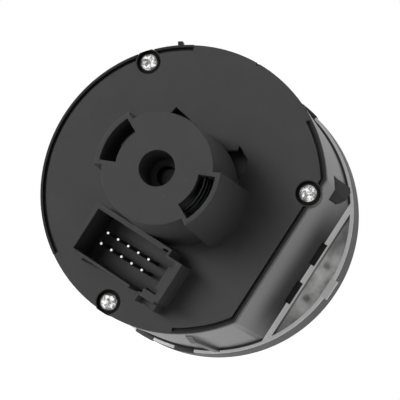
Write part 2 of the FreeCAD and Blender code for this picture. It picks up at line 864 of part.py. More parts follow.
def make_shroud():
    """Walls of the connector shroud, solid inside; socket_cuts() opens it."""
    foot_z = board_z + board_t
    lower_y = mouth_y[0] - shroud_lower_t
    upper_y = mouth_y[1] + shroud_top_t
    end_y = end_mouth_y[1] + end_top_t
    latch_y = mouth_y[0] - latch_out
    latch_x0 = latch_gap_x[1]
    return fused([
        box(mouth_x[0] - shroud_side_t, mouth_x[1] + shroud_lower_t, lower_y, upper_y, foot_z, shroud_top_z),
        box(mouth_x[1], shroud_x, mouth_y[0], end_y, foot_z, shroud_top_z),
        box(mouth_x[1], latch_x, lower_y, mouth_y[0] + joint_sink, cover_under_z, shroud_top_z),
        box(latch_x0, latch_x0 + latch_wall_t, latch_y, mouth_y[0] + joint_sink,
            cover_under_z, shroud_top_z),
        box(latch_x0, latch_x, latch_y, mouth_y[0] + joint_sink,
            cover_under_z, shroud_top_z - latch_floor_drop),
        box(mouth_x[0] - shroud_side_t, foot_pad_x, lower_y - shroud_lower_t, lower_y + joint_sink,
            cover_under_z, shroud_top_z - foot_pad_h),
    ])


def socket_cuts():
    """Mouth of the shroud, its corner slots, the latch gap and the holes for the pins."""
    top = shroud_top_z + past
    end_low, end_high = end_mouth_y
    step_z = shroud_top_z - end_step_depth
    cuts = [
        box(mouth_x[0], mouth_x[1], mouth_y[0], mouth_y[1], socket_floor_z, top),
        box(mouth_x[1] - past, end_wall_x, end_low, end_high, socket_floor_z, top),
        box(end_wall_x - past, end_step_x, end_low, end_high, step_z, top),
        box(end_wall_x - past, end_step_x, end_low, end_low + end_slot_h, cover_z, top),
        box(end_wall_x - past, end_step_x, end_high - end_slot_h, end_high, cover_z, top),
        box(latch_gap_x[0], latch_gap_x[1], mouth_y[0] - latch_out, mouth_y[0] + past,
            board_z + board_t, top),
        box(top_nick[0], top_nick[1], mouth_y[1] - past, mouth_y[1] + top_nick_depth, cover_z, top),
    ]
    return cuts + pin_holes(board_z, socket_floor_z + past)


def foot_windows():
    """The two hooded holes in the cover at the foot of the boss."""
    holes = []
    for outline in (foot_window_right, foot_window_left):
        hole = prism([vec(x, y, cover_under_z - past) for x, y in outline], Z * (cover_t + 2 * past))
        holes.append(hole.cut(cyl(boss_foot_r - foot_window_inset, 0, far)))
    return holes


def make_rear_cover():
    z0 = cover_under_z
    plate = flat_round_solid(cover_r, cover_flat_x, z0, cover_r, cover_flat_x, cover_z)
    for a0, a1 in lobe_spans:
        plate = plate.fuse(cyl(lobe_r, z0, cover_z).common(wedge(a0, a1, 0, far)))
    half = cover_notch_w / 2
    plate = plate.cut(turned(box(lobe_r - cover_notch_h, far, -half, half, 0, far), cover_notch_angle))
    wells = screw_places(cyl(well_r + well_wall, well_floor_z, cover_z))
    for index in (0, 2):
        wells[index] = wells[index].common(cyl(lobe_r + loose_fit, 0, far))
    body = fused([plate, make_boss(), make_shroud()] + wells)

    roof_z = boss_top_z - boss_roof_t
    cavity = cyl(boss_bore_r, z0 - past, roof_z)
    for angle in bump_angles:
        slice_of = wedge(angle - slot_half_angle, angle + slot_half_angle, 0, roof_z)
        cavity = cavity.fuse(cyl(slot_out_r, z0 - past, far).common(slice_of))
    cuts = [cavity.cut(cyl(tube_r, tube_front_z, boss_top_z)), cyl(tail_r + turn_fit, z0 - past, far)]
    slots = ring(slot_in_r, slot_out_r, z0 - past, far)
    for angle in bump_angles:
        cuts.append(slots.common(wedge(angle - slot_half_angle, angle + slot_half_angle, 0, far)))
    cuts += socket_cuts() + foot_windows()
    cuts += screw_places(cyl(well_r, cover_z - well_depth, far))
    cuts += screw_places(cyl(screw_shank_r + loose_fit, well_floor_z - past, cover_z))
    return without(body, cuts).removeSplitter()


# Pins and screws
def make_contact_pins():
    pins = []
    half = pin_w / 2
    for x, y in pin_places():
        pin = box(x - half, x + half, y - half, y + half, pin_tail_z, pin_tip_z)
        tips = [e for e in pin.Edges if e.BoundBox.ZMin > pin_tip_z - joint_sink]
        pins.append(pin.makeChamfer(pin_chamfer, tips))
    return Part.makeCompound(pins)


def make_cover_screws():
    seat = cover_z - well_depth
    top = seat + screw_head_t
    head = cyl(screw_head_r, seat, seat + screw_head_t / 2).fuse(
        cone(screw_head_r, screw_head_r - screw_head_t / 2, seat + screw_head_t / 2, top))
    body = fused([head, cyl(screw_shank_r, seat - screw_len, seat + joint_sink)])
    recess = box(-recess_half, recess_half, -recess_w / 2, recess_w / 2, top - recess_depth, far)
    body = without(body, [recess, turned(recess, 90)])
    return Part.makeCompound(screw_places(body))


def make_return_spring():
    return coil(return_coil_r, return_wire_r, leg_end_z, boss_top_z - boss_roof_t, return_turns)


def save(shape, name):
    shape = shape.copy()
    shape.Placement = to_car.multiply(shape.Placement)
    shape.exportStep("parts/" + name + ".step")


def main():
    os.makedirs("parts", exist_ok=True)
    save(make_housing(), "housing")
    save(make_trim_ring(), "trim_ring")
    save(make_face_plate(), "face_plate")
    save(make_light_guide(), "light_guide")
    save(make_light_baffle(), "light_baffle")
    save(make_knob(), "knob")
    save(make_knob_ring(), "knob_ring")
    save(make_knob_pointer(), "knob_pointer")
    save(make_knob_shaft(), "knob_shaft")
    save(make_contact_bush(), "contact_bush")
    save(make_release_sleeve(), "release_sleeve")
    save(make_rotor(), "rotor")
    save(make_rotor_wiper(), "rotor_wiper")
    save(make_detent_plunger(), "detent_plunger")
    save(make_detent_spring(), "detent_spring")
    save(make_catch(catch_angle), "catch_upper")
    save(make_catch(catch_angle + 180), "catch_lower")
    save(make_catch_spring(catch_angle), "catch_spring_upper")
    save(make_catch_spring(catch_angle + 180), "catch_spring_lower")
    save(make_circuit_board(), "circuit_board")
    save(make_board_lamps(), "board_lamps")
    save(make_rear_frame(), "rear_frame")
    save(make_rear_cover(), "rear_cover")
    save(make_contact_pins(), "contact_pins")
    save(make_cover_screws(), "cover_screws")
    save(make_return_spring(), "return_spring")


main()
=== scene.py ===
import math

import bmesh
import bpy
from mathutils import Matrix, Vector


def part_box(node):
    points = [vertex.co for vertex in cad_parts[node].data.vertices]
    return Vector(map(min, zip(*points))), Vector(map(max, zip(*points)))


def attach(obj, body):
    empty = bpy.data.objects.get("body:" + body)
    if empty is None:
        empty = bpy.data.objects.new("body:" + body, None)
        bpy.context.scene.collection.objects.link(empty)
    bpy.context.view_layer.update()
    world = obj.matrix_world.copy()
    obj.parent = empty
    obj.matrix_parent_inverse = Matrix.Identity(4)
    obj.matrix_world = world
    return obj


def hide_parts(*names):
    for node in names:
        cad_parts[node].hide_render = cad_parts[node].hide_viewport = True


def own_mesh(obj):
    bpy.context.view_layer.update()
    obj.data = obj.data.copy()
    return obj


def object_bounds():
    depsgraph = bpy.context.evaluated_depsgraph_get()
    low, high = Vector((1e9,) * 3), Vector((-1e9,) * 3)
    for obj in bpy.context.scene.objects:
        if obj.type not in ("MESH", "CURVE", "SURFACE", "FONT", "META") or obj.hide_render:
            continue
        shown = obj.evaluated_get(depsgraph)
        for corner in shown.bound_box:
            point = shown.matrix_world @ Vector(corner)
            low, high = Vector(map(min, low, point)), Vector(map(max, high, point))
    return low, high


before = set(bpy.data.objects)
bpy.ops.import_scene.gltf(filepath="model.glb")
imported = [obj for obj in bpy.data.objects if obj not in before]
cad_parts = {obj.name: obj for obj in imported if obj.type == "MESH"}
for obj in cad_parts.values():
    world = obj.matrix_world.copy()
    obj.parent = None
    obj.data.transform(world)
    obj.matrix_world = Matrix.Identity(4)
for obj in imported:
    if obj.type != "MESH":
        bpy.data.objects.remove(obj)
cad_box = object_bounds()

bl_info = {
    "name": "Headlight switch",
    "version": (1, 0, 0),
    "blender": (4, 5, 0),
    "location": "3D View > Sidebar > Switch",
    "description": "Dresses the packed headlight switch with its finishes, springs and light symbols",
    "category": "Object",
}

# Places on the switch in metres: the flange's seat is at Y = 0, the knob's axis at X = Z = 0

SCREWS = ((0.020594, 0.018375), (-0.0229, 0.01265), (-0.000212, -0.027599))
# Radii of the painted shade round each screw head's rim
SCREW_RIM_R = (0.00165, 0.00180)
SCREW_REACH = 0.003
COUNTERBORE_R = (0.00252, 0.00268)
FIRST_PIN = (0.00653, -0.01582)
PIN_PITCH = 0.00254
# Radii of the painted highlight on each pin's tip
PIN_TIP_R = (0.00018, 0.00032)
# Heights of the flange ring, which is lightened with painted light and a painted glow
FLANGE_Y = (-0.0008, 0.0004)
# Radii of the painted shade line in the gap outside the wall's foot
FLANGE_GAP_SHADE_R = (0.02999, 0.03062, 0.03082)
FLANGE_FLAT_X = -0.02485
WALL_R = 0.03040
WALL_INNER_R = 0.0281
WALL_END_X = -0.0245
FOOT_SHADE_Y = (0.0060, 0.0002)
FOOT_LINE_Y = (0.0018, 0.0004)
FLAT_X = -0.0242
FLAT_INNER_X = -0.0229
FLAT_SHADE_Y = (0.027, 0.008)
FLAT_SHADE_HALF_Z = (0.0165, 0.0075)
FLAT_MIDDLE_Z = -0.001
# Openings in the flat side, whose own walls get painted shade
WINDOW_MIDDLES_Z = (0.0047, -0.00525)
WINDOW_HALF = 0.00273
WINDOW_X = (-0.02563, -0.0215)
WINDOW_Y = (-0.00062, 0.00304)
GUIDE_RIB_ANGLE = math.radians(55.0)
GUIDE_RIB_R = 0.03026
GUIDE_RIB_HALF = 0.00062
CLIP_TABS_Y = (-0.0007, -0.0005)
POCKET_MARKS = ((-0.0275, 0.0036), (-0.0275, -0.0048))
# Middle of the pocket, from which painted shade grows toward both ends
POCKET_MIDDLE_Z = -0.0006
CATCH_ANGLE = math.radians(-25.0)
PUSH_TRAVEL = 0.003
CATCH_TRAVEL = 0.0013
FACE_RECESS = 0.0004
INK_THICK = 0.00004

# Fineness of the coils
STEPS_PER_TURN = 32
WIRE_SIDES = 10

# Directions of the photograph's camera
CAMERA_RIGHT = Vector((-0.8138, -0.2088, 0.5423))
CAMERA_BACK = Vector((-0.2660, 0.9636, -0.0281))

WHITE = (1.0, 1.0, 1.0)
NO_LIGHT = (0.0, 0.0, 0.0)
DEEP_SHADE = (0.005, 0.005, 0.005)


def scaled(colour, share):
    """A colour made lighter or darker."""
    return tuple(channel * share for channel in colour)


# Shader maths

class Sock:
    """A shader socket that adds Math nodes when it is used in an expression."""

    def __init__(self, tree, socket):
        self.tree = tree
        self.socket = socket

    def _math(self, operation, a, b=None, clamp=False):
        values = {0: a} if b is None else {0: a, 1: b}
        return self.tree.node("ShaderNodeMath", {"operation": operation, "use_clamp": clamp}, values)

    def __add__(self, other):
        return self._math("ADD", self, other)

    __radd__ = __add__

    def __sub__(self, other):
        return self._math("SUBTRACT", self, other)

    def __rsub__(self, other):
        return self._math("SUBTRACT", other, self)

    def __mul__(self, other):
        return self._math("MULTIPLY", self, other)

    __rmul__ = __mul__

    def __gt__(self, other):
        return self._math("GREATER_THAN", self, other)

    def __lt__(self, other):
        return self._math("LESS_THAN", self, other)

    def between(self, low, high):
        return (self > low) * (self < high)

    def clamped(self):
        return self._math("ADD", self, 0.0, clamp=True)

    def absolute(self):
        return self._math("ABSOLUTE", self)

    def root(self):
        return self._math("SQRT", self)

    def sine(self):
        return self._math("SINE", self)

    def folded(self, half_pitch):
        """Distance to the nearest of evenly spaced places."""
        return self._math("PINGPONG", self, half_pitch)


def length_of(across, up):
    """Length of a flat step, from its two sides."""
    return (across * across + up * up).root()


class Nodes:
    """A node tree, with one method that makes any node."""

    def __init__(self, tree):
        self.tree = tree

    def node(self, kind, settings=None, values=None, out=0):
        made = self.tree.nodes.new(kind)
        for key, value in (settings or {}).items():
            if key == "stops":
                self.set_stops(made.color_ramp, value)
            else:
                setattr(made, key, value)
        for key, value in (values or {}).items():
            self.feed(made.inputs[key], value)
        return Sock(self, made.outputs[out])

    def set_stops(self, ramp, stops):
        """Grey stops of a ramp, each a place and a level."""
        while len(ramp.elements) < len(stops):
            ramp.elements.new(0.5)
        for element, (place, level) in zip(ramp.elements, stops):
            element.position = place
            element.color = (level, level, level, 1.0)

    def feed(self, socket, value):
        if isinstance(value, Sock):
            self.tree.links.new(value.socket, socket)
        elif socket.type == "RGBA":
            socket.default_value = (*tuple(value)[:3], 1.0)
        else:
            socket.default_value = value

    def place(self):
        """Object coordinates, which are metres in the switch's own frame."""
        return self.node("ShaderNodeTexCoord", out="Object")

    def noise(self, size, detail=3.0, rough=0.55, stretch=None):
        """Soft noise whose grains are about size metres across."""
        at = self.place()
        if stretch:
            at = self.node("ShaderNodeMapping", None, {"Vector": at, "Scale": stretch})
        values = {"Vector": at, "Scale": 1.0 / size, "Detail": detail, "Roughness": rough}
        return self.node("ShaderNodeTexNoise", None, values, out="Fac")

    def mix(self, share, first, second, blend="MIX"):
        """A colour between two colours, or blended from them."""
        settings = {"data_type": "RGBA", "blend_type": blend}
        return self.node("ShaderNodeMix", settings, {"Factor": share, 6: first, 7: second}, out=2)

    def fade(self, value, low, high):
        """Smooth step from 0 at low to 1 at high, either way round."""
        return self.node("ShaderNodeMapRange", {"interpolation_type": "SMOOTHSTEP"},
                         {"Value": value, "From Min": low, "From Max": high})

    def axes(self):
        made = self.tree.nodes.new("ShaderNodeSeparateXYZ")
        self.feed(made.inputs[0], self.place())
        return [Sock(self, output) for output in made.outputs]

    def seen(self):
        """1 for rays from the camera, and for those mirrored or let through."""
        kinds = ("Is Camera Ray", "Is Glossy Ray", "Is Transmission Ray")
        rays = [self.node("ShaderNodeLightPath", out=kind) for kind in kinds]
        return (rays[0] + rays[1] + rays[2]).clamped()


class Tree(Nodes):
    """A material's node tree."""

    def __init__(self, name):
        self.material = bpy.data.materials.new(name)
        self.material.use_nodes = True
        super().__init__(self.material.node_tree)
        self.shader = self.tree.nodes["Principled BSDF"]
        self.output = self.tree.nodes["Material Output"]

    def set(self, **values):
        for name, value in values.items():
            self.feed(self.shader.inputs[name.replace("_", " ")], value)

    def grain(self, height, strength, distance, round_edge=0.0):
        """Bump from a height, over softly rounded edges."""
        values = {"Height": height, "Strength": strength, "Distance": distance}
        if round_edge:
            values["Normal"] = self.node("ShaderNodeBevel", {"samples": 6}, {"Radius": round_edge})
        self.feed(self.shader.inputs["Normal"], self.node("ShaderNodeBump", None, values))


# Settings

class StageSettings(bpy.types.PropertyGroup):
    floor_drop: bpy.props.FloatProperty(
        name="Floor drop", description="How far the floor lies below the part", default=0.09, unit="LENGTH")
    floor_size: bpy.props.FloatProperty(
        name="Floor size", description="Side of the floor", default=6.0, unit="LENGTH")
    world_strength: bpy.props.FloatProperty(
        name="World strength", description="Strength of the even white surroundings", default=0.10)
    key_power: bpy.props.FloatProperty(
        name="Key power", description="Power of the large lamp on the left", default=7.2, unit="POWER")
    camera_place: bpy.props.FloatVectorProperty(
        name="Camera place", description="Where the camera stands", default=(-0.09125, 0.34662, -0.00924),
        subtype="TRANSLATION", unit="LENGTH")
    lens: bpy.props.FloatProperty(
        name="Lens", description="Focal length on a 36 mm wide sensor, in millimetres", default=144.0)


class PlasticSettings(bpy.types.PropertyGroup):
    housing_colour: bpy.props.FloatVectorProperty(
        name="Housing colour", description="Light grey housing plastic", default=(0.34, 0.34, 0.34),
        subtype="COLOR")
    trim_colour: bpy.props.FloatVectorProperty(
        name="Trim colour", description="Dark grey trim ring plastic", default=(0.045, 0.045, 0.046),
        subtype="COLOR")
    cover_colour: bpy.props.FloatVectorProperty(
        name="Cover colour", description="Black cover plastic", default=(0.076, 0.076, 0.076),
        subtype="COLOR")
    milky_colour: bpy.props.FloatVectorProperty(
        name="Light guide colour", description="Milky light guide plastic", default=(0.75, 0.75, 0.74),
        subtype="COLOR")
    grain_size: bpy.props.FloatProperty(
        name="Grain size", description="Size of the moulded grain", default=0.00022, unit="LENGTH")
    edge_round: bpy.props.FloatProperty(
        name="Edge rounding", description="Radius of the moulded edges", default=0.00018, unit="LENGTH")


class MetalSettings(bpy.types.PropertyGroup):
    zinc_colour: bpy.props.FloatVectorProperty(
        name="Zinc colour", description="Bright plated screws", default=(0.86, 0.86, 0.85), subtype="COLOR")
    steel_colour: bpy.props.FloatVectorProperty(
        name="Spring steel colour", description="Drawn spring wire", default=(0.52, 0.53, 0.55),
        subtype="COLOR")
    brass_colour: bpy.props.FloatVectorProperty(
        name="Brass colour", description="Rolled contact brass", default=(0.74, 0.58, 0.32), subtype="COLOR")


class CoilSettings(bpy.types.PropertyGroup):
    wire: bpy.props.FloatProperty(
        name="Wire", description="Wire thickness of the springs", default=0.0005, unit="LENGTH")
    return_turns: bpy.props.IntProperty(
        name="Return spring turns", description="Turns of the return spring", default=5)
    catch_turns: bpy.props.IntProperty(
        name="Catch spring turns", description="Turns of each catch spring", default=5)


class SymbolSettings(bpy.types.PropertyGroup):
    circle: bpy.props.FloatProperty(
        name="Circle", description="Radius on which the symbols stand", default=0.0222, unit="LENGTH")
    size: bpy.props.FloatProperty(
        name="Size", description="Width of a symbol", default=0.0052, unit="LENGTH")


# Finishes of the plastics

def moulded(name, rough, settings, bump=0.12, specular=0.5):
    """Moulded surface: fine grain, soft changes of gloss, and rounded edges."""
    tree = Tree(name)
    fine = tree.noise(settings.grain_size, 2.0)
    cloud = tree.noise(0.006, 4.0)
    tree.set(Roughness=(fine * 0.10 + cloud * 0.10 + (rough - 0.10)).clamped())
    tree.set(Specular_IOR_Level=specular)
    tree.grain(fine + cloud * 0.4, bump, settings.grain_size * 0.35, settings.edge_round)
    return tree


def flow_marked(name, colour, rough, settings, bump=0.12, specular=0.5):
    """Moulded plastic with soft clouds and flow marks in its colour."""
    tree = moulded(name, rough, settings, bump, specular)
    cloud = tree.noise(0.006, 4.0)
    flow = tree.noise(0.02, 2.0, stretch=(1.0, 0.25, 1.0))
    share = (cloud * 0.6 + flow * 0.4).clamped()
    tree.set(Base_Color=tree.mix(share, scaled(colour, 0.88), scaled(colour, 1.12)))
    return tree


def from_screws(tree):
    """Distance of a point from each cover screw's axis."""
    x, _, z = tree.axes()
    return [length_of(x - screw_x, z - screw_z) for screw_x, screw_z in SCREWS]


def cover_black(name, colour, rough, settings):
    """Black cover plastic with a few specks of dust, and shade in the screws' counterbores."""
    tree = moulded(name, rough, settings, bump=0.10, specular=0.12)
    dots = tree.node("ShaderNodeTexVoronoi", {"feature": "F1"}, {"Vector": tree.place(), "Scale": 330.0},
                     out="Distance")
    speck = (dots < 0.035) * (tree.noise(0.004, 1.0) > 0.62)
    base = tree.mix(tree.noise(0.005, 4.0), scaled(colour, 0.9), scaled(colour, 1.12))
    base = tree.mix(speck, base, (0.16, 0.16, 0.16))
    inner, outer = COUNTERBORE_R
    for far in from_screws(tree):
        base = tree.mix(tree.fade(far, outer, inner), base, (0.014, 0.014, 0.014))
    tree.set(Base_Color=base)
    return tree


def housing_grey(name, colour, rough, settings):
    """Light grey housing: a flange ring lightened with painted light and a painted glow, and painted shade on
    the flat side, at the foot, inside and in the gap outside the wall.
    """
    tree = moulded(name, rough, settings)
    x, y, z = tree.axes()
    radius = length_of(x, z)
    cloud = tree.noise(0.004, 4.0)
    base = tree.mix(cloud, scaled(colour, 0.92), scaled(colour, 1.08))

    # Flange ring, lightened with painted light, and a painted shade line in the gap outside the wall's foot
    ring = tree.fade(y, FLANGE_Y[1], 0.0001) * (y > FLANGE_Y[0])
    base = tree.mix(ring, base, scaled(colour, 1.6))
    gap_shade_low, gap_shade_full, gap_shade_high = FLANGE_GAP_SHADE_R
    # Painted shade line in the gap outside the wall's foot
    foot_gap_shade = ring * (radius > gap_shade_low) * tree.fade(radius, gap_shade_high, gap_shade_full) * (x > FLANGE_FLAT_X)

    # Round wall, shaded at its foot
    on_wall = (radius < WALL_R) * (x > WALL_END_X)
    foot = tree.fade(y, *FOOT_SHADE_Y) * 0.55 + tree.fade(y, *FOOT_LINE_Y) * 0.35
    base = tree.mix(foot * on_wall, base, DEEP_SHADE)

    # Flat side, shaded toward the windows
    on_flat = tree.fade(x, FLAT_X + 0.0004, FLAT_X) * tree.fade(y, 0.0001, 0.0003)
    depth = tree.fade(y, *FLAT_SHADE_Y)
    along = tree.fade((z - FLAT_MIDDLE_Z).absolute(), *FLAT_SHADE_HALF_Z)
    shade = on_flat * depth * (along * 0.72 + 0.27)
    base = tree.mix(on_flat * 0.3, base, DEEP_SHADE)
    base = tree.mix(shade, base, DEEP_SHADE)

    # Painted shade inside the housing and on the openings' own walls, with the gap's painted shade line
    upper, lower = [(z - middle).absolute() < WINDOW_HALF for middle in WINDOW_MIDDLES_Z]
    in_window = (upper + lower) * y.between(*WINDOW_Y) * x.between(*WINDOW_X)
    inside = (radius < WALL_INNER_R) * (x > FLAT_INNER_X)
    dark = (in_window + inside + foot_gap_shade).clamped()
    base = tree.mix(dark, base, DEEP_SHADE)

    # Outer face of the guide rib
    rib_x, rib_z = -math.cos(GUIDE_RIB_ANGLE), -math.sin(GUIDE_RIB_ANGLE)
    across = (x * rib_z - z * rib_x).absolute() < GUIDE_RIB_HALF
    rib = across * ((x * rib_x + z * rib_z) > GUIDE_RIB_R) * (y > 0.0002)
    tree.set(Base_Color=tree.mix(rib, base, (0.028, 0.028, 0.028)))

    fine = tree.noise(settings.grain_size, 2.0)
    tree.set(Roughness=(fine * 0.10 + cloud * 0.10 + shade * 0.5 + (rough - 0.10)).clamped())
    # Painted glow on the flange ring, left off where the painted shade lies
    glow = tree.mix(cloud, (0.20, 0.20, 0.20), (0.28, 0.28, 0.28))
    tree.set(Emission_Color=tree.mix(ring * (1.0 - dark), NO_LIGHT, glow), Emission_Strength=1.0)
    return tree


def trim_grey(name, colour, rough, settings):
    """Dark grey trim ring, whose clip tabs are lighter."""
    tree = moulded(name, rough, settings, specular=0.2)
    base = tree.mix(tree.noise(0.005, 4.0), scaled(colour, 0.9), scaled(colour, 1.1))
    tabs = tree.fade(tree.axes()[1], *CLIP_TABS_Y)
    tree.set(Base_Color=tree.mix(tabs, base, scaled(colour, 2.2)))
    return tree


def milky(name, colour, settings):
    """Milky light guide: cloudy inside, with painted shade toward the pocket's ends, two soft marks and a
    painted glow.
    """
    tree = Tree(name)
    x, _, z = tree.axes()
    cloud = tree.noise(0.004, 2.0, 0.5)
    small = tree.noise(0.0014, 2.0, 0.5)
    shade = tree.node("ShaderNodeValToRGB", {"stops": ((0.34, 0.5), (0.5, 0.85), (0.66, 1.15))},
                      {0: (cloud * 0.85 + small * 0.15).clamped()})
    tinted = tree.mix(1.0, colour, shade, blend="MULTIPLY")
    # Painted shade toward the pocket's ends
    ends = tree.fade((z - POCKET_MIDDLE_Z).absolute(), 0.019, 0.003)
    tinted = tree.mix(ends * 0.75 + 0.15, (0.03, 0.03, 0.03), tinted)
    for mark_x, mark_z in POCKET_MARKS:
        far = length_of(x - mark_x, z - mark_z)
        smudge = tree.fade(far + small * 0.0009, 0.0017, 0.0007)
        tinted = tree.mix(smudge * 0.6, tinted, (0.08, 0.08, 0.08))
    tree.set(Base_Color=tinted)
    tree.set(Roughness=(small * 0.2 + 0.32).clamped())
    tree.set(Subsurface_Weight=0.25, Subsurface_Scale=0.001, Subsurface_Radius=(1.0, 1.0, 1.0))
    # Painted glow: the guide's own colour given off as light, in place of light let through from the front
    tree.set(Emission_Color=tinted, Emission_Strength=0.24)
    tree.grain(small, 0.15, 0.0001, settings.edge_round)
    return tree


def board_laminate(name):
    """Circuit board laminate with a faint weave and the shades of its tracks."""
    tree = Tree(name)
    x, _, z = tree.axes()
    weave = (x * 9000.0).sine() * (z * 9000.0).sine()
    tracks = tree.node("ShaderNodeTexVoronoi", {"feature": "F1", "distance": "CHEBYCHEV"},
                       {"Vector": tree.place(), "Scale": 260.0}, out="Distance")
    tree.set(Base_Color=tree.mix((tracks * 1.4).clamped(), (0.003, 0.005, 0.004), (0.008, 0.011, 0.009)))
    tree.set(Roughness=(weave * 0.05 + 0.38).clamped())
    tree.grain(weave, 0.05, 0.00003)
    return tree


def lamp_resin(name):
    """Resin lens of a lamp chip, warm white with a frosted skin."""
    tree = Tree(name)
    cloud = tree.noise(0.0004, 3.0)
    tree.set(Base_Color=tree.mix(cloud, (0.80, 0.74, 0.45), (0.92, 0.88, 0.62)))
    tree.set(Roughness=(cloud * 0.2 + 0.2).clamped())
    tree.grain(cloud, 0.1, 0.00005)
    return tree


def white_ink(name, colour):
    """Printed white ink, slightly uneven."""
    tree = Tree(name)
    fine = tree.noise(0.00012, 3.0)
    tree.set(Base_Color=tree.mix(fine, scaled(colour, 0.86), colour))
    tree.set(Roughness=(fine * 0.2 + 0.4).clamped())
    tree.grain(fine, 0.08, 0.00002)
    return tree


# Finishes of the metals

def scratched(name, rough, scratch_size, stretch=(1.0, 1.0, 1.0), bump=0.08):
    """Metal surface with fine drawn lines and soft changes of gloss."""
    tree = Tree(name)
    lines = tree.noise(scratch_size, 3.0, stretch=stretch)
    cloud = tree.noise(0.0012, 3.0)
    tree.set(Metallic=1.0, Roughness=(lines * 0.18 + cloud * 0.12 + (rough - 0.12)).clamped())
    tree.grain(lines, bump, scratch_size * 0.3)
    return tree


def drawn_metal(name, colour, rough, scratch_size, stretch=(1.0, 1.0, 1.0), bump=0.08):
    """Bare metal, softly clouded."""
    tree = scratched(name, rough, scratch_size, stretch, bump)
    tree.set(Base_Color=tree.mix(tree.noise(0.0012, 3.0), scaled(colour, 0.88), colour))
    return tree


def zinc_plate(name, colour):
    """Bright zinc plate, blotched from clear to dull, with painted shade round the heads' rims and a painted
    glow that stands in for reflection.
    """
    tree = scratched(name, 0.34, 0.00045, bump=0.5)
    blotch = tree.noise(0.00075, 2.0)
    patch = tree.mix(tree.fade(blotch, 0.42, 0.60), scaled(colour, 0.25), colour)
    # Painted shade round each head's rim
    for far in from_screws(tree):
        rim_shade = tree.fade(far, *SCREW_RIM_R) * (far < SCREW_REACH)
        patch = tree.mix(rim_shade, patch, scaled(colour, 0.04))
    tree.set(Base_Color=patch)
    # Painted glow in place of the bright room that the metal would mirror
    tree.set(Emission_Color=patch, Emission_Strength=0.30)
    return tree


def tinned(name, colour, tip_y):
    """Tinned pins: tips given a painted highlight and glow, over dull sides darkened with painted shade."""
    tree = scratched(name, 0.42, 0.0002)
    x, y, z = tree.axes()
    across = (x - FIRST_PIN[0]).folded(PIN_PITCH / 2)
    up = (z - FIRST_PIN[1]).folded(PIN_PITCH / 2)
    inner, outer = PIN_TIP_R
    middle = tree.fade(length_of(across, up), outer, inner)
    # Painted highlight on the pins' tips
    bright = tree.fade(y, tip_y - 0.0002, tip_y - 0.00012) * middle
    # Painted shade on the pins' sides
    side = tree.mix(tree.noise(0.0004, 2.0), (0.035, 0.035, 0.034), (0.07, 0.07, 0.068))
    tree.set(Base_Color=tree.mix(bright, side, colour))
    tree.set(Metallic=bright * -0.9 + 1.0)
    # Painted glow on the tips, in place of the bright room that the metal would mirror
    tree.set(Emission_Color=tree.mix(bright, NO_LIGHT, colour), Emission_Strength=0.45)
    return tree


# Pieces

def dress(tree, *names):
    """Give CAD nodes a finish."""
    for name in names:
        data = bpy.data.objects[name].data
        data.materials.clear()
        data.materials.append(tree.material)


def new_object(name, bm):
    """An object in the scene from a bmesh, which is freed."""
    data = bpy.data.meshes.new(name)
    bm.to_mesh(data)
    bm.free()
    made = bpy.data.objects.new(name, data)
    bpy.context.scene.collection.objects.link(made)
    return made


def switch_piece(name, bm, material):
    """A finished mesh piece with its place in its mesh, riding on the switch's body."""
    bmesh.ops.remove_doubles(bm, verts=bm.verts, dist=1e-7)
    bmesh.ops.recalc_face_normals(bm, faces=bm.faces)
    made = new_object(name, bm)
    for face in made.data.polygons:
        face.use_smooth = True
    made.data.set_sharp_from_angle(angle=math.radians(35.0))
    made.data.materials.append(material)
    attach(made, "switch_body")
    return made


# Operators

